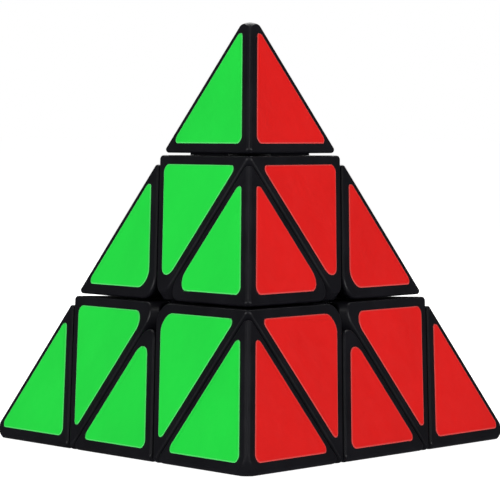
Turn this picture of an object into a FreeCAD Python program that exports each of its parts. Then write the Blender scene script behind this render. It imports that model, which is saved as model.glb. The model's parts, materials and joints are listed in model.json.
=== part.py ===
import FreeCAD, Part
import math
import os
import Sketcher
from FreeCAD import Placement, Rotation, Vector

# A pyramid twisty puzzle: four tips, four axials and six edges round a ball core, with 36 stickers.
# The origin is the centre of the ball, where all the axes meet; +Z runs up through the top vertex.
# Each kind of piece is modelled once, at the top or the top front edge, and then turned into place.

os.makedirs("parts", exist_ok=True)
doc = FreeCAD.newDocument("pyramid_puzzle")

# ---------------------------------------------------------------- dimensions (millimetres)
DIMENSIONS = [
    ("edge_length", "103.9", "sharp edge of the black pyramid, before rounding"),
    ("gap", "0.45", "clearance between neighbouring pieces"),
    ("hull_round", "0.95", "radius on the pyramid's own edges"),
    ("vertex_round", "3.2", "radius of the blunt vertices"),
    ("tip_cut", "35.1", "centre to the cut under a tip"),
    ("piece_round", "0.6", "radius on the edges along the cuts"),
    ("hub_round", "3.2", "radius on the piece corners at each face centre"),
    ("shell_radius", "17", "sphere that parts the outer pieces from the mechanism"),
    ("foot_cut", "2", "centre to the layer cut inside that sphere"),
    ("ball_radius", "9.5", "core ball"),
    ("ball_gap", "0.3", "clearance between the ball and what runs on it"),
    ("wall", "1.8", "wall of the hollow pieces"),
    ("plate", "2", "top plate of an axial, which holds the tip"),
    ("tip_hole", "4.5", "radius of the hole in that plate"),
    ("tip_stem", "4.2", "radius of the tip's snap stem"),
    ("tip_bore", "2.9", "radius of the bore in that stem"),
    ("tip_lip", "5", "radius of the snap lip"),
    ("lip_depth", "5.6", "end of the stem below the axial's top face"),
    ("lip_height", "1.5", "straight part of the lip"),
    ("slot_width", "1.2", "slots that split the stem into four legs"),
    ("slot_length", "14", "the same slots, from side to side"),
    ("land_radius", "11.5", "land under a tip, which nearly touches the axial"),
    ("land_inset", "1.2", "land to the faces"),
    ("land_gap", "0.06", "clearance under that land"),
    ("screw_radius", "1.5", "axis screw"),
    ("screw_hole", "1.8", "hole for that screw in an axial"),
    ("screw_start", "3.5", "centre to the end of the screw"),
    ("head_radius", "3.1", "screw head"),
    ("head_height", "2.4", "screw head"),
    ("recess_length", "3.6", "cross recess in the head"),
    ("recess_width", "0.8", "cross recess in the head"),
    ("recess_depth", "1.2", "cross recess in the head"),
    ("seat", "13.5", "centre to the spring seat in an axial"),
    ("spring_height", "6.9", "working height of the spring"),
    ("spring_radius", "2.85", "centre line of the spring wire"),
    ("wire_radius", "0.35", "spring wire"),
    ("spring_pitch", "1.3", "one turn of the spring"),
    ("washer_radius", "3.4", "washer"),
    ("washer_height", "0.6", "washer"),
    ("pocket_radius", "3.8", "spring pocket in an axial"),
    ("collar_radius", "5.2", "outside of the wall round that pocket"),
    ("collar_height", "8.5", "pocket depth"),
    ("post_width", "3.4", "post that joins an edge's foot to its cap"),
    ("post_length", "12", "the same post, from side to side"),
    ("post_height", "6.5", "how far the post stands above the foot"),
    ("fit", "0.1", "clearance round that post"),
    ("sticker", "0.12", "sticker thickness"),
    ("hull_inset", "2.38", "sticker to the pyramid's edge"),
    ("tip_inset", "2.2", "tip sticker to its cut"),
    ("axial_inset", "2.05", "axial sticker to its cuts"),
    ("edge_inset", "2.42", "edge sticker to its cuts"),
    ("corner_round", "1.1", "outer sticker corners"),
    ("hub_corner", "2.6", "sticker corner at a face centre"),
    ("sticker_edge", "0.08", "softened rim of a sticker"),
    ("reach", "150", "size of the blocks that cut the pieces out"),
    ("slant", "=sqrt(8) / 3", "sine of the angle between a face and an axis that crosses it"),
    ("inradius", "=edge_length * sqrt(6) / 12", "centre to face"),
    ("hull_drop", "=hull_round * (sqrt(3) - 1)", "sharp edge to rounded edge"),
    ("vertex_centre", "=3 * inradius - (vertex_round - 0.05 + hull_drop) * sqrt(3)", "its sphere's centre"),
    ("vertex_start", "=inradius + 2 / 3 * vertex_centre", "centre to where that sphere takes over"),
    ("layer_cut", "=inradius / 3 + gap", "centre to the cut under a layer"),
    ("tip_low", "=tip_cut + gap / 2", "underside of a tip"),
    ("axial_high", "=tip_cut - gap / 2", "top of an axial"),
    ("layer_low", "=layer_cut + gap / 2", "underside of a layer"),
    ("layer_high", "=layer_cut - gap / 2", "what lies below that layer ends here"),
    ("foot_low", "=foot_cut + gap / 2", "underside of a layer inside the sphere"),
    ("foot_high", "=foot_cut - gap / 2", "what lies below that layer ends here"),
    ("outer_shell", "=shell_radius + gap / 2", "inside of the outer pieces"),
    ("inner_shell", "=shell_radius - gap / 2", "outside of the mechanism"),
    ("shell_floor", "=outer_shell + wall", "inside of the hollow pieces"),
    ("stem_end", "=axial_high - lip_depth", "end of a tip's stem"),
    ("lip_top", "=axial_high - plate - 0.2", "top of the snap lip"),
    ("stem_top", "=tip_low + 12.5", "where the stem has run into the tip's walls"),
    ("cone_low", "=ball_radius - 1.5", "bottom of an axial's conical stem"),
    ("cone_high", "=shell_radius + 1.3", "top of that stem"),
    ("spring_top", "=seat + spring_height", "underside of the washer"),
    ("head_low", "=spring_top + washer_height", "underside of the screw head"),
]
ALIASES = {alias for alias, _, _ in DIMENSIONS}
dims = doc.addObject("Spreadsheet::Sheet", "Dims")
for row, (alias, _, note) in enumerate(DIMENSIONS, start=1):
    dims.set(f"A{row}", alias)
    dims.set(f"C{row}", note)
    dims.setAlias(f"B{row}", alias)
for row, (_, amount, _) in enumerate(DIMENSIONS, start=1):
    dims.set(f"B{row}", amount)
doc.recompute()

# ---------------------------------------------------------------- directions
# Unit directions from the centre to the four vertices.
DIRECTION = {
    "top": Vector(0, 0, 1),
    "front": Vector(0, -2 * math.sqrt(2) / 3, -1 / 3),
    "right": Vector(math.sqrt(6) / 3, math.sqrt(2) / 3, -1 / 3),
    "left": Vector(-math.sqrt(6) / 3, math.sqrt(2) / 3, -1 / 3),
}
VERTICES = ["top", "front", "right", "left"]
SIDES = ["front", "right", "left"]
UP = DIRECTION["top"]
EAST = Vector(1, 0, 0)
NORTH = Vector(0, 1, 0)
NOWHERE = Vector(0, 0, 0)


def frame(z_axis, x_axis):
    """Rotation whose Z is z_axis and whose X is the part of x_axis square to it."""
    return Rotation(x_axis, NOWHERE, z_axis, "ZXY")


def turn(old, new):
    """Rotation that takes one pair of vertices onto another pair."""
    before = frame(DIRECTION[old[0]], DIRECTION[old[1]])
    after = frame(DIRECTION[new[0]], DIRECTION[new[1]])
    return after.multiply(before.inverted())


# ---------------------------------------------------------------- helpers
def value(alias):
    return float(dims.get(alias))


def bound(expression):
    """The expression with every alias pointing at the sheet."""
    words = expression.split()
    return " ".join("Dims." + word if word in ALIASES else word for word in words)


def add(kind, name, numbers=None, **properties):
    """Add an object with fixed properties, and with numbers that follow the sheet."""
    made = doc.addObject(kind, name)
    for key, setting in properties.items():
        setattr(made, key, setting)
    for key, expression in (numbers or {}).items():
        made.setExpression(key, bound(expression))
    return made


def place(made, rotation, terms):
    """Turn an object and bind its position to a sum of direction times expression."""
    made.Placement = Placement(NOWHERE, rotation)
    for letter in "xyz":
        parts = [
            f"{getattr(direction, letter):.12f} * ( {expression} )"
            for direction, expression in terms
            if abs(getattr(direction, letter)) > 1e-9
        ]
        if parts:
            made.setExpression(f"Placement.Base.{letter}", bound(" + ".join(parts)))
    return made


def block(name, vertex, start):
    """Big block that begins at a distance along a vertex direction and runs outward."""
    axis = DIRECTION[vertex]
    rotation = Rotation(UP, axis)
    corner = rotation.multVec(EAST + NORTH)
    made = add("Part::Box", name, {"Length": "reach", "Width": "reach", "Height": "reach"})
    return place(made, rotation, [(axis, start), (corner, "0 - reach / 2")])


def region(name, before=(), beyond=(), extra=()):
    """What lies before some planes and beyond others, each a vertex and a distance."""
    blocks = [block(f"{name}_{vertex}_max", vertex, f"{end} - reach") for vertex, end in before]
    blocks += [block(f"{name}_{vertex}_min", vertex, start) for vertex, start in beyond]
    return add("Part::MultiCommon", name, Shapes=blocks + list(extra))


def ball(name, radius):
    return add("Part::Sphere", name, {"Radius": radius})


def cylinder(name, radius, bottom, top):
    made = add("Part::Cylinder", name, {"Radius": radius, "Height": f"{top} - ( {bottom} )"})
    return place(made, Rotation(), [(UP, bottom)])


def cone(name, radius_1, radius_2, bottom, top):
    height = f"{top} - ( {bottom} )"
    made = add("Part::Cone", name, {"Radius1": radius_1, "Radius2": radius_2, "Height": height})
    return place(made, Rotation(), [(UP, bottom)])


def box(name, rotation, width, length, bottom, top):
    """Box centred on the local Z axis of a rotation, between two heights."""
    height = f"{top} - ( {bottom} )"
    made = add("Part::Box", name, {"Length": width, "Width": length, "Height": height})
    terms = [
        (rotation.multVec(EAST), f"0 - ( {width} ) / 2"),
        (rotation.multVec(NORTH), f"0 - ( {length} ) / 2"),
        (rotation.multVec(UP), bottom),
    ]
    return place(made, rotation, terms)


def cut(name, base, tool):
    return add("Part::Cut", name, Base=base, Tool=tool)


def fuse(name, *shapes):
    return add("Part::MultiFuse", name, Shapes=list(shapes))


def fillet(name, base, numbers, alias):
    """Round the numbered edges of a shape by a radius from the sheet."""
    radius = value(alias)
    return add("Part::Fillet", name, Base=base, Edges=[(n, radius, radius) for n in numbers])


def edges_along(shape, *planes):
    """Numbers of the edges that lie in all the planes, each a vertex and a distance."""
    found = []
    for number, edge in enumerate(shape.Edges, start=1):
        ends = [edge.valueAt(end) for end in edge.ParameterRange]
        if all(abs(p.dot(DIRECTION[v]) - d) < 1e-4 for p in ends for v, d in planes):
            found.append(number)
    return found


def is_hull(face):
    """True for a face of the rounded pyramid itself, false for one made by a cut."""
    surface = face.Surface
    if isinstance(surface, Part.Plane):
        return abs(abs(surface.Position.dot(surface.Axis)) - value("inradius")) < 1e-4
    radius = getattr(surface, "Radius", 0)
    return min(abs(radius - value(alias)) for alias in ("hull_round", "vertex_round")) < 1e-4


def rounded_outline(name, base):
    """Round the edges where the cuts reach the outside of the pyramid."""
    doc.recompute()
    shape = base.Shape
    found = []
    for number, edge in enumerate(shape.Edges, start=1):
        faces = shape.ancestorsOfType(edge, Part.Face)
        if len({is_hull(face) for face in faces}) == 2:
            found.append(number)
    return fillet(name, base, found, "piece_round")


def instance(name, source, rotation):
    """A copy of a master piece, turned about the centre of the ball to its own place."""
    copy = add("Part::Compound", name, Links=[source])
    copy.Placement = Placement(NOWHERE, rotation)
    return copy


# ---------------------------------------------------------------- the pyramid and the spheres
pyramid = region("pyramid", beyond=[(vertex, "0 - inradius") for vertex in VERTICES])
doc.recompute()
rounded_pyramid = fillet("rounded_pyramid", pyramid, range(1, 7), "hull_round")
vertex_waste = []
for vertex in VERTICES:
    vertex_ball = ball(f"vertex_ball_{vertex}", "vertex_round")
    place(vertex_ball, Rotation(UP, DIRECTION[vertex]), [(DIRECTION[vertex], "vertex_centre")])
    vertex_block = block(f"vertex_block_{vertex}", vertex, "vertex_start")
    vertex_waste.append(cut(f"vertex_waste_{vertex}", vertex_block, vertex_ball))
hull = cut("hull", rounded_pyramid, fuse("vertex_wastes", *vertex_waste))
outer_sphere = ball("outer_sphere", "outer_shell")
inner_sphere = ball("inner_sphere", "inner_shell")
floor_sphere = ball("floor_sphere", "shell_floor")
ball_space = ball("ball_space", "ball_radius + ball_gap")

# ---------------------------------------------------------------- tip
tip_block = region("tip_block", beyond=[("top", "tip_low")], extra=[hull])
tip_skin = rounded_outline("tip_skin", tip_block)
tip_room = [("top", "tip_low - 1")] + [(side, "wall - inradius") for side in SIDES]
tip_shell = cut("tip_shell", tip_skin, region("tip_hollow", beyond=tip_room))
stem = cylinder("stem", "tip_stem", "stem_end", "stem_top")
stem_nose = cone("stem_nose", "tip_stem - 0.3", "tip_lip", "stem_end", "lip_top - lip_height")
stem_lip = cylinder("stem_lip", "tip_lip", "lip_top - lip_height", "lip_top")
land_disc = cylinder("land_disc", "land_radius", "axial_high + land_gap", "tip_low + 1")
land = region("land", beyond=[(side, "land_inset - inradius") for side in SIDES], extra=[land_disc])
tip_solid = fuse("tip_solid", tip_shell, land, stem, stem_nose, stem_lip)
bore = cylinder("bore", "tip_bore", "stem_end - 1", "stem_top + 0.5")
slot_east = box("slot_east", Rotation(), "slot_length", "slot_width", "stem_end - 1", "tip_low + 1.2")
slot_north = box("slot_north", Rotation(), "slot_width", "slot_length", "stem_end - 1", "tip_low + 1.2")
tip = cut("tip", tip_solid, fuse("stem_space", bore, slot_east, slot_north))

# ---------------------------------------------------------------- axial
spike_sides = [("top", "axial_high")] + [(side, "layer_high") for side in SIDES]
spike = region("spike", before=spike_sides)
doc.recompute()
spike_edges = []
for first, second in (("front", "right"), ("right", "left"), ("left", "front")):
    planes = [(first, value("layer_high")), (second, value("layer_high"))]
    spike_edges += edges_along(spike.Shape, *planes)
spike_skin = fillet("spike_skin", spike, spike_edges, "hub_round")
axial_block = region("axial_block", beyond=[("top", "layer_low")], extra=[spike_skin, hull])
axial_skin = rounded_outline("axial_skin", axial_block)
axial_room = region(
    "axial_room",
    before=[("top", "axial_high - plate")] + [(side, "layer_high - wall") for side in SIDES],
    beyond=[("top", "layer_low + wall")] + [(side, "wall - inradius") for side in SIDES],
)
axial_scoop = cut("axial_scoop", axial_skin, outer_sphere)
axial_shell = cut("axial_shell", axial_scoop, cut("axial_hollow", axial_room, floor_sphere))


def cone_radius(height):
    """Radius, at a height, of the widest stem that clears the three other layers."""
    return f"( foot_high + ( {height} ) / 3 ) / slant - 0.15"


axial_stem = cone(
    "axial_stem", cone_radius("cone_low"), cone_radius("cone_high"), "cone_low", "cone_high"
)
collar = cylinder("collar", "collar_radius", "seat", "seat + collar_height")
axial_solid = fuse("axial_solid", axial_shell, axial_stem, collar)
pocket = cylinder("pocket", "pocket_radius", "seat", "seat + collar_height + 1")
screw_way = cylinder("screw_way", "screw_hole", "ball_radius - 3", "seat + 1")
tip_way = cylinder("tip_way", "tip_hole", "axial_high - plate - 1", "axial_high + 1")
axial = cut("axial", axial_solid, fuse("axial_space", pocket, screw_way, tip_way, ball_space))

# ---------------------------------------------------------------- edge: cap and foot
OUTWARD = DIRECTION["top"] + DIRECTION["front"]
EDGE_FRAME = frame(OUTWARD.normalize(), DIRECTION["top"] - DIRECTION["front"])

wedge = region("wedge", beyond=[("top", "layer_low"), ("front", "layer_low")])
doc.recompute()
wedge_planes = [("top", value("layer_low")), ("front", value("layer_low"))]
wedge_skin = fillet("wedge_skin", wedge, edges_along(wedge.Shape, *wedge_planes), "hub_round")
cap_skin = rounded_outline("cap_skin", add("Part::MultiCommon", "cap_block", Shapes=[wedge_skin, hull]))
cap_room = region(
    "cap_room",
    beyond=[(vertex, "layer_low + wall") for vertex in ("top", "front")]
    + [(vertex, "wall - inradius") for vertex in ("right", "left")],
)
cap_hollow = cut("cap_hollow", cap_room, floor_sphere)
socket_size = ("post_width + 2 * fit", "post_length + 2 * fit")
socket = box("socket", EDGE_FRAME, *socket_size, "ball_radius", "shell_floor + 1")
cap = cut("cap", cut("cap_scoop", cap_skin, outer_sphere), fuse("cap_space", cap_hollow, socket))

foot_plate = region(
    "foot_plate",
    before=[(vertex, "foot_high") for vertex in ("right", "left")],
    beyond=[(vertex, "foot_low") for vertex in ("top", "front")],
    extra=[inner_sphere],
)
neck_box = box("neck_box", EDGE_FRAME, "post_width + 4", "post_length + 4", "ball_radius + 1", "shell_floor")
neck_planes = [("top", "layer_low + 0.4"), ("front", "layer_low + 0.4")]
neck = region("neck", beyond=neck_planes, extra=[neck_box, outer_sphere])
post = box("post", EDGE_FRAME, "post_width", "post_length", "ball_radius + 3", "shell_radius + post_height")
foot = cut("foot", fuse("foot_solid", foot_plate, neck, post), ball_space)

# ---------------------------------------------------------------- core, screws, washers, springs
shank = cylinder("shank", "screw_radius", "screw_start", "head_low + 0.5")
head = cylinder("head", "head_radius", "head_low", "head_low + head_height")
head_top = "head_low + head_height"
recess_ends = (f"{head_top} - recess_depth", f"{head_top} + 1")
recess_east = box("recess_east", Rotation(), "recess_length", "recess_width", *recess_ends)
recess_north = box("recess_north", Rotation(), "recess_width", "recess_length", *recess_ends)
recess = fuse("recess", recess_east, recess_north)
screw = cut("screw", fuse("screw_solid", shank, head), recess)
washer_disc = cylinder("washer_disc", "washer_radius", "spring_top", "head_low")
washer = cut("washer", washer_disc, cylinder("washer_hole", "screw_hole", "spring_top - 1", "head_low + 1"))

coil = add(
    "Part::Helix",
    "coil",
    {"Radius": "spring_radius", "Pitch": "spring_pitch", "Height": "spring_height - 2 * wire_radius - 0.1"},
    SegmentLength=0.5,
)
place(coil, Rotation(), [(UP, "seat + wire_radius + 0.05")])
wire = add("Part::Circle", "wire", {"Radius": "wire_radius"})
place(wire, frame(NORTH, EAST), [(EAST, "spring_radius"), (UP, "seat + wire_radius + 0.05")])
spring = add("Part::Sweep", "spring", Sections=[wire], Spine=(coil, []), Solid=True, Frenet=True)

TURNS = {
    "top": turn(("top", "front"), ("top", "front")),
    "front": turn(("top", "front"), ("front", "top")),
    "right": turn(("top", "front"), ("right", "top")),
    "left": turn(("top", "front"), ("left", "top")),
}
thread_holes = []
for vertex in VERTICES:
    hole = add("Part::Cylinder", f"thread_hole_{vertex}", {"Radius": "screw_radius", "Height": "ball_radius"})
    thread_holes.append(place(hole, TURNS[vertex], [(DIRECTION[vertex], "screw_start - 0.5")]))
core_master = cut("core_master", ball("core_ball", "ball_radius"), fuse("thread_holes", *thread_holes))

# ---------------------------------------------------------------- stickers
def top_face(shape):
    """Number of the highest flat face."""
    heights = [face.CenterOfMass.z for face in shape.Faces]
    return heights.index(max(heights)) + 1


def sticker_master(name, reach_in, hub_apex):
    """Triangle with its apex up, whose middle is its body's origin; reach_in is centre to side."""
    body = add("PartDesign::Body", name)
    sketch = body.newObject("Sketcher::SketchObject", f"{name}_outline")
    sketch.AttachmentSupport = [(body.Origin.OriginFeatures[3], "")]
    sketch.MapMode = "FlatFace"
    size = 8.0
    left = Vector(-size * math.sqrt(3), -size, 0)
    right = Vector(size * math.sqrt(3), -size, 0)
    apex = Vector(0, 2 * size, 0)
    for start, end in ((left, right), (right, apex), (apex, left)):
        sketch.addGeometry(Part.LineSegment(start, end), False)
    for side in range(3):
        sketch.addConstraint(Sketcher.Constraint("Coincident", side, 2, (side + 1) % 3, 1))
    sketch.addConstraint(Sketcher.Constraint("Symmetric", 0, 1, 0, 2, -2))
    index = sketch.addConstraint(Sketcher.Constraint("DistanceY", 0, 1, -1, 1, size))
    sketch.renameConstraint(index, "centre_to_side")
    sketch.setExpression("Constraints.centre_to_side", bound(reach_in))
    index = sketch.addConstraint(Sketcher.Constraint("DistanceY", -1, 1, 1, 2, 2 * size))
    sketch.renameConstraint(index, "centre_to_apex")
    sketch.setExpression("Constraints.centre_to_apex", "2 * Constraints.centre_to_side")
    sketch.addConstraint(Sketcher.Constraint("Equal", 0, 1))
    sketch.addConstraint(Sketcher.Constraint("PointOnObject", 1, 2, -2))
    pad = body.newObject("PartDesign::Pad", f"{name}_sheet")
    pad.Profile = sketch
    pad.setExpression("Length", bound("sticker"))
    doc.recompute()
    corners = {"hub_corner": [], "corner_round": []}
    for number, edge in enumerate(pad.Shape.Edges, start=1):
        ends = [vertex.Point for vertex in edge.Vertexes]
        if abs(ends[0].z - ends[1].z) > 1e-6:
            is_apex = ends[0].y > 0
            corners["hub_corner" if is_apex and hub_apex else "corner_round"].append(ends[0])
    last = pad
    for alias, points in corners.items():
        if not points:
            continue
        names = [
            f"Edge{number}"
            for number, edge in enumerate(last.Shape.Edges, start=1)
            for point in points
            if max((vertex.Point - point).cross(UP).Length for vertex in edge.Vertexes) < 1e-4
        ]
        rounding = body.newObject("PartDesign::Fillet", f"{name}_{alias}")
        rounding.Base = (last, names)
        rounding.setExpression("Radius", bound(alias))
        doc.recompute()
        last = rounding
    rim = body.newObject("PartDesign::Fillet", f"{name}_rim")
    rim.Base = (last, [f"Face{top_face(last.Shape)}"])
    rim.setExpression("Radius", bound("sticker_edge"))
    body.Tip = rim
    return body


HULL_LINE = "hull_inset * slant - inradius"
TIP_LINE = "tip_cut + tip_inset * slant"
AXIAL_LINE = "tip_cut - axial_inset * slant"
BELOW_LAYER = "layer_cut - axial_inset * slant"
ABOVE_LAYER = "layer_cut + edge_inset * slant"
# The three lines that bound each kind of sticker on the left-hand face, as distances along
# the directions of that face's own vertices.
STICKER_LINES = {
    "tip": {"top": TIP_LINE, "front": HULL_LINE, "left": HULL_LINE},
    "axial": {"top": AXIAL_LINE, "front": BELOW_LAYER, "left": BELOW_LAYER},
    "edge": {"top": ABOVE_LAYER, "front": ABOVE_LAYER, "left": HULL_LINE},
}
APEX_TOWARD = {"tip": ("top", 1), "axial": ("top", -1), "edge": ("left", 1)}
sticker_pieces = {}
for kind, lines in STICKER_LINES.items():
    total = " + ".join(f"( {line} )" for line in lines.values())
    spread = f"( inradius - ( {total} ) ) / 3"
    side_sign = APEX_TOWARD[kind][1]
    body = sticker_master(f"sticker_{kind}", f"{side_sign} * {spread} / slant", kind != "tip")
    apex_vertex, sign = APEX_TOWARD[kind]
    outward = DIRECTION["right"] * -1
    apex_direction = DIRECTION[apex_vertex] * sign
    rotation = Rotation(NOWHERE, apex_direction, outward, "ZYX")
    terms = [(DIRECTION[vertex] * 0.75, f"( {line} ) + {spread}") for vertex, line in lines.items()]
    sticker_pieces[kind] = place(body, rotation, terms + [(DIRECTION["right"] * 0.75, "0 - inradius")])

# ---------------------------------------------------------------- the assembly
nodes = {"core": instance("core", core_master, Rotation())}
FASTENERS = {"core_screws": screw, "core_washers": washer, "core_springs": spring}
for node, master in FASTENERS.items():
    copies = [instance(f"{node}_{vertex}", master, TURNS[vertex]) for vertex in VERTICES]
    nodes[node] = add("Part::Compound", node, Links=copies)

for vertex in VERTICES:
    nodes[f"axial_{vertex}"] = instance(f"axial_{vertex}", axial, TURNS[vertex])
    nodes[f"tip_{vertex}"] = instance(f"tip_{vertex}", tip, TURNS[vertex])

PAIRS = [(first, second) for k, first in enumerate(VERTICES) for second in VERTICES[k + 1:]]
for first, second in PAIRS:
    rotation = turn(("top", "front"), (first, second))
    node = f"edge_{first}_{second}"
    nodes[f"{node}_cap"] = instance(f"{node}_cap", cap, rotation)
    nodes[f"{node}_foot"] = instance(f"{node}_foot", foot, rotation)

# Each face is named by its colour and lies opposite one vertex.
FACE_OPPOSITE = {"right": "green", "left": "red", "front": "yellow", "top": "blue"}
for opposite, colour in FACE_OPPOSITE.items():
    corners = [vertex for vertex in VERTICES if vertex != opposite]
    for vertex in corners:
        rotation = turn(("right", "top"), (opposite, vertex))
        for kind in ("tip", "axial"):
            node = f"sticker_{colour}_{kind}_{vertex}"
            nodes[node] = instance(node, sticker_pieces[kind], rotation)
        first, second = [other for other in corners if other != vertex]
        node = f"sticker_{colour}_edge_{first}_{second}"
        rotation = turn(("right", "left"), (opposite, vertex))
        nodes[node] = instance(node, sticker_pieces["edge"], rotation)

doc.recompute()

# ---------------------------------------------------------------- check and write
for thing in doc.Objects:
    if "Invalid" in thing.State or "Error" in thing.State:
        raise RuntimeError(f"{thing.Name} did not compute: {thing.State}")
for node, piece in nodes.items():
    if piece.Shape.isNull() or not piece.Shape.isValid():
        raise RuntimeError(f"{node} has no valid shape")
    piece.Label = node
    piece.Shape.exportStep(f"parts/{node}.step")
print(len(nodes), "nodes written")
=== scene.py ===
import json  # noqa: E402
import math  # noqa: E402

import bmesh  # noqa: E402
import bpy  # noqa: E402
from mathutils import Matrix, Vector  # noqa: E402
from mathutils.geometry import convex_hull_2d  # noqa: E402


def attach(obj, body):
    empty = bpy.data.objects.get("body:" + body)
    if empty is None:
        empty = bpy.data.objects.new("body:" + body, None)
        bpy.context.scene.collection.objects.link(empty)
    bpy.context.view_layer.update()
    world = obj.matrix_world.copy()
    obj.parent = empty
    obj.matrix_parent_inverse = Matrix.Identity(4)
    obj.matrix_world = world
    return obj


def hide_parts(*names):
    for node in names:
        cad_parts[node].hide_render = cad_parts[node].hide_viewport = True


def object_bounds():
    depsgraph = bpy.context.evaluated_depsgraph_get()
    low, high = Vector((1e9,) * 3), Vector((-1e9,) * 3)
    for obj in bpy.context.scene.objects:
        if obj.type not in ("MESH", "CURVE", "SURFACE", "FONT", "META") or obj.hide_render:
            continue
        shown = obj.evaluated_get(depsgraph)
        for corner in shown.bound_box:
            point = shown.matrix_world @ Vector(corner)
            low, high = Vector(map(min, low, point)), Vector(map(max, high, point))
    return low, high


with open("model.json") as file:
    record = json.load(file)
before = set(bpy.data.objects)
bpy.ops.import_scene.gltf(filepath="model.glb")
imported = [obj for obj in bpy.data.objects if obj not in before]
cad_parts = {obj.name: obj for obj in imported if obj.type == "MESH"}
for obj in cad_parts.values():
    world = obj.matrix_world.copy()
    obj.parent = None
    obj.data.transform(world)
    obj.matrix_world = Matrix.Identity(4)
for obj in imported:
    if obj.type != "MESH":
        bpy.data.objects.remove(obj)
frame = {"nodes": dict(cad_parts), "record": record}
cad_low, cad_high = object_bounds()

# The looks of a pyramid twisty puzzle: satin black pieces with die-cut vinyl stickers.
# Everything is in metres round the centre of the core ball, with +Z through the top vertex.

MM = 0.001
NODES = frame["nodes"]
BODIES = frame["record"]["behaviour"]["bodies"]
BODY_OF = {name: body for body, names in BODIES.items() for name in names}
SLOT_OF = {part["node"]: part["material_slot"] for part in frame["record"]["subparts"]}


# ---------------------------------------------------------------- materials
# The colour inputs and output of a Mix node, among its sockets for every data type.
COLOUR_SOCKETS = (6, 7)
MIXED_COLOUR = 2
# Most of a noise texture lies between these values.
NOISE_LOW, NOISE_HIGH = 0.35, 0.65


class Surface:
    """A material whose Principled shader is fed by procedural nodes in object space."""

    def __init__(self, name, roughness, **sockets):
        self.material = bpy.data.materials.new(name)
        self.material.use_nodes = True
        self.tree = self.material.node_tree
        self.shader = self.tree.nodes["Principled BSDF"]
        self.shader.inputs["Roughness"].default_value = roughness
        for socket, setting in sockets.items():
            self.shader.inputs[socket.replace("_", " ")].default_value = setting
        self.place = self.tree.nodes.new("ShaderNodeTexCoord").outputs["Object"]

    def link(self, out, into):
        self.tree.links.new(out, into)

    def noise(self, size, detail=2.0):
        """Noise from 0 to 1 whose features are about `size` metres across."""
        made = self.tree.nodes.new("ShaderNodeTexNoise")
        made.inputs["Scale"].default_value = 1 / size
        made.inputs["Detail"].default_value = detail
        self.link(self.place, made.inputs["Vector"])
        return made.outputs["Fac"]

    def spread(self, noise, low=0.0, high=1.0):
        """Noise carried onto low..high, clamped."""
        made = self.tree.nodes.new("ShaderNodeMapRange")
        ends = {"From Min": NOISE_LOW, "From Max": NOISE_HIGH, "To Min": low, "To Max": high}
        for socket, number in ends.items():
            made.inputs[socket].default_value = number
        self.link(noise, made.inputs["Value"])
        return made.outputs["Result"]

    def mix(self, factor, one, other):
        """Colour between two, each a colour or the output of another node."""
        made = self.tree.nodes.new("ShaderNodeMix")
        made.data_type = "RGBA"
        self.link(factor, made.inputs["Factor"])
        for socket, colour in zip(COLOUR_SOCKETS, (one, other)):
            if isinstance(colour, tuple):
                made.inputs[socket].default_value = (*colour, 1)
            else:
                self.link(colour, made.inputs[socket])
        return made.outputs[MIXED_COLOUR]

    def colour(self, out):
        self.link(out, self.shader.inputs["Base Color"])

    def roughness(self, noise, low, high):
        self.link(self.spread(noise, low, high), self.shader.inputs["Roughness"])

    def bump(self, height, distance):
        made = self.tree.nodes.new("ShaderNodeBump")
        made.inputs["Distance"].default_value = distance
        self.link(height, made.inputs["Height"])
        self.link(made.outputs["Normal"], self.shader.inputs["Normal"])


def shade(colour, factor):
    return tuple(channel * factor for channel in colour)


def moulded_plastic(name, colour, roughness, specular):
    """Satin moulded plastic: a spark-eroded grain, with slow flow marks in colour and gloss."""
    made = Surface(name, roughness, Specular_IOR_Level=specular)
    flow = made.noise(7 * MM)
    made.colour(made.mix(made.spread(flow), shade(colour, 0.85), shade(colour, 1.15)))
    made.roughness(flow, roughness - 0.04, roughness + 0.05)
    made.bump(made.noise(0.22 * MM, 3.0), 0.003 * MM)
    return made.material


# The sticker meshes say with this attribute how much of the paler rim colour, a painted highlight,
# each point takes.
RIM_HIGHLIGHT = "rim_highlight"


def vinyl(name, colour, rim_highlight):
    """Cut vinyl: an even film with a faint orange peel, paler along its cut rim as a painted
    highlight.
    """
    made = Surface(name, 0.4, Specular_IOR_Level=0.35)
    cloud = made.noise(16 * MM)
    face = made.mix(made.spread(cloud), shade(colour, 0.97), shade(colour, 1.03))
    edge = made.tree.nodes.new("ShaderNodeAttribute")
    edge.attribute_name = RIM_HIGHLIGHT
    # The paler rim colour mixed in here is a painted highlight along the cut edge.
    made.colour(made.mix(edge.outputs["Fac"], face, rim_highlight))
    made.roughness(made.noise(3 * MM), 0.36, 0.44)
    made.bump(made.noise(0.6 * MM), 0.002 * MM)
    return made.material


def plated_steel(name):
    """Zinc-plated steel with fine turning marks."""
    made = Surface(name, 0.3, Metallic=1.0)
    cloud = made.noise(1.2 * MM, 3.0)
    made.colour(made.mix(cloud, (0.42, 0.41, 0.39), (0.64, 0.63, 0.6)))
    made.roughness(cloud, 0.24, 0.4)
    made.bump(made.noise(0.12 * MM), 0.004 * MM)
    return made.material


BLACK = (0.0050, 0.0049, 0.0071)
CORE_GREY = (0.68, 0.67, 0.64)
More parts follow.
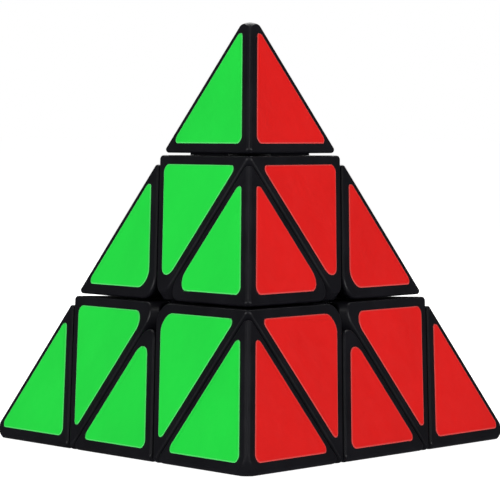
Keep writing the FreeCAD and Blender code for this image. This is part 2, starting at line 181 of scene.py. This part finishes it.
# The colour of each face's film, and the paler colour of its cut rim, which is a painted highlight.
VINYL = {
    "green": ((0.013, 0.725, 0.056), (0.08, 0.72, 0.14)),
    "red": ((0.725, 0.0085, 0.0075), (0.66, 0.062, 0.056)),
    "yellow": ((0.83, 0.60, 0.012), (0.86, 0.68, 0.12)),
    "blue": ((0.010, 0.095, 0.50), (0.07, 0.17, 0.58)),
}
MATERIALS = {
    "black_plastic": moulded_plastic("black_plastic", BLACK, roughness=0.38, specular=0.27),
    "core_plastic": moulded_plastic("core_plastic", CORE_GREY, roughness=0.45, specular=0.5),
    "screw_steel": plated_steel("screw_steel"),
}
for tint, (film_colour, rim_highlight_colour) in VINYL.items():
    MATERIALS[f"sticker_{tint}"] = vinyl(f"sticker_{tint}", film_colour, rim_highlight_colour)

for name, node in NODES.items():
    node.data.materials.clear()
    node.data.materials.append(MATERIALS[SLOT_OF[name]])

# ---------------------------------------------------------------- stickers
# Each sticker is rebuilt on its CAD outline with a rolled cut rim. Each ring of points has
# its distance inside the outline in millimetres, its height as a share of the thickness, and
# its share of the paler rim colour, a painted highlight.
RINGS = (
    (0.0, 0.0, 1.0),
    (0.0, 0.45, 1.0),
    (0.03, 0.75, 1.0),
    (0.09, 0.92, 1.0),
    (0.17, 1.0, 0.85),
    (0.30, 1.0, 0.0),
)
OUTLINE_STEP = 0.35 * MM


def outline(points):
    """Convex outline of flat points, with its long sides divided into short steps."""
    corners = [points[index] for index in convex_hull_2d(points)]
    if sum(a.cross(b) for a, b in zip(corners, corners[1:] + corners[:1])) < 0:
        corners.reverse()
    divided = []
    for start, end in zip(corners, corners[1:] + corners[:1]):
        steps = max(1, round((end - start).length / OUTLINE_STEP))
        divided += [start.lerp(end, step / steps) for step in range(steps)]
    return divided


def inset(loop, distance):
    """The closed loop moved inward by a distance."""
    moved = []
    for before, point, after in zip(loop[-1:] + loop[:-1], loop, loop[1:] + loop[:1]):
        along = (after - before).normalized()
        moved.append(point + Vector((-along.y, along.x)) * distance)
    return moved


def film(name):
    """The shown sticker for a CAD sticker node, on the same face and of the same thickness."""
    points = [vertex.co.copy() for vertex in NODES[name].data.vertices]
    largest = max(NODES[name].data.polygons, key=lambda polygon: polygon.area)
    outward = largest.normal.copy()
    if outward.dot(points[0]) < 0:
        outward.negate()
    to_flat = outward.to_track_quat("Z", "Y").to_matrix().inverted()
    flat = [to_flat @ point for point in points]
    heights = [point.z for point in flat]
    base, thickness = min(heights), max(heights) - min(heights)
    cut = outline([point.xy for point in flat])
    mesh = bmesh.new()
    # Each point's share of the painted rim highlight colour.
    rim_highlight = mesh.verts.layers.float.new(RIM_HIGHLIGHT)
    to_place = to_flat.inverted()
    loops = []
    for inside, share, rim_highlight_share in RINGS:
        loop = []
        for point in inset(cut, inside * MM):
            made = mesh.verts.new(to_place @ Vector((*point, base + share * thickness)))
            made[rim_highlight] = rim_highlight_share
            loop.append(made)
        loops.append(loop)
    for lower, upper in zip(loops, loops[1:]):
        for index, corner in enumerate(lower):
            follow = (index + 1) % len(lower)
            mesh.faces.new((corner, lower[follow], upper[follow], upper[index])).smooth = True
    mesh.faces.new(loops[-1]).smooth = True
    mesh.faces.new(loops[0][::-1])
    data = bpy.data.meshes.new(f"{name}_film")
    mesh.to_mesh(data)
    mesh.free()
    shown = bpy.data.objects.new(f"{name}_film", data)
    bpy.context.collection.objects.link(shown)
    data.materials.append(MATERIALS[SLOT_OF[name]])
    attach(shown, BODY_OF[name])
    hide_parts(name)


for name in sorted(NODES):
    if name.startswith("sticker_"):
        film(name)

# ---------------------------------------------------------------- floor
FLOOR_SIZE = 60.0
PAPER_GLOW = 0.96
paper = Surface("floor_paper", 0.95, Specular_IOR_Level=0.0)
paper.colour(paper.mix(paper.noise(0.3), (0.84, 0.84, 0.84), (0.87, 0.87, 0.87)))
paper.shader.inputs["Emission Color"].default_value = (1, 1, 1, 1)
paper.shader.inputs["Emission Strength"].default_value = PAPER_GLOW
bpy.ops.mesh.primitive_plane_add(size=FLOOR_SIZE, location=(0, 0, cad_low.z))
floor = bpy.context.object
floor.name = "floor"
floor.data.materials.append(paper.material)
# Kept out of reflections, or the lower rims would mirror its glow.
floor.visible_glossy = False

# ---------------------------------------------------------------- light
# The backdrop shows white to the camera, and every other ray meets a dim studio.
AMBIENT = 0.05
BACKDROP = 1.0
world = bpy.data.worlds.new("studio")
world.use_nodes = True
sky = world.node_tree.nodes["Background"]
sky.inputs["Color"].default_value = (1, 1, 1, 1)
strength = world.node_tree.nodes.new("ShaderNodeMapRange")
strength.inputs["To Min"].default_value = AMBIENT
strength.inputs["To Max"].default_value = BACKDROP
path = world.node_tree.nodes.new("ShaderNodeLightPath")
world.node_tree.links.new(path.outputs["Is Camera Ray"], strength.inputs["Value"])
world.node_tree.links.new(strength.outputs["Result"], sky.inputs["Strength"])
bpy.context.scene.world = world
bpy.context.scene.view_settings.view_transform = "Standard"

MIDDLE = Vector((0, 0, 10 * MM))
LAMP_DISTANCE = 1.1
# Azimuth and elevation in degrees, size in metres, power in watts.
LAMPS = {
    "key_left": (-48, 24, 0.7, 5.9),
    "key_right": (48, 24, 0.7, 5.9),
    "ridge": (0, 66, 0.35, 0.7),
    "back": (180, 40, 0.7, 5.5),
}


def direction(azimuth, elevation):
    """Unit vector towards a place round the object. Azimuth 0 is the front, 90 the right."""
    turn, rise = math.radians(azimuth), math.radians(elevation)
    return Vector((math.sin(turn) * math.cos(rise), -math.cos(turn) * math.cos(rise), math.sin(rise)))


def soft_box(name, azimuth, elevation, size, power):
    """A square soft box that faces the middle of the object."""
    data = bpy.data.lights.new(name, "AREA")
    data.size = size
    data.energy = power
    lamp = bpy.data.objects.new(name, data)
    bpy.context.collection.objects.link(lamp)
    towards = direction(azimuth, elevation)
    lamp.location = MIDDLE + towards * LAMP_DISTANCE
    lamp.rotation_mode = "QUATERNION"
    lamp.rotation_quaternion = towards.to_track_quat("Z", "Y")


for name, setting in LAMPS.items():
    soft_box(name, *setting)

# ---------------------------------------------------------------- camera
CAMERA_AZIMUTH = 0.36
CAMERA_ELEVATION = 3.12
CAMERA_DISTANCE = 0.7178
CAMERA_TARGET = Vector((0.09, 0, 16.9)) * MM
FIELD_OF_VIEW = math.radians(7.595)
CAMERA_ROLL = math.radians(0.13)

camera = bpy.data.objects.new("camera", bpy.data.cameras.new("camera"))
bpy.context.collection.objects.link(camera)
camera.location = direction(CAMERA_AZIMUTH, CAMERA_ELEVATION) * CAMERA_DISTANCE
camera.data.angle = FIELD_OF_VIEW
look = (camera.location - CAMERA_TARGET).to_track_quat("Z", "Y").to_matrix()
camera.rotation_euler = (look @ Matrix.Rotation(CAMERA_ROLL, 3, "Z")).to_euler()
bpy.context.scene.camera = camera

bpy.context.view_layer.update()
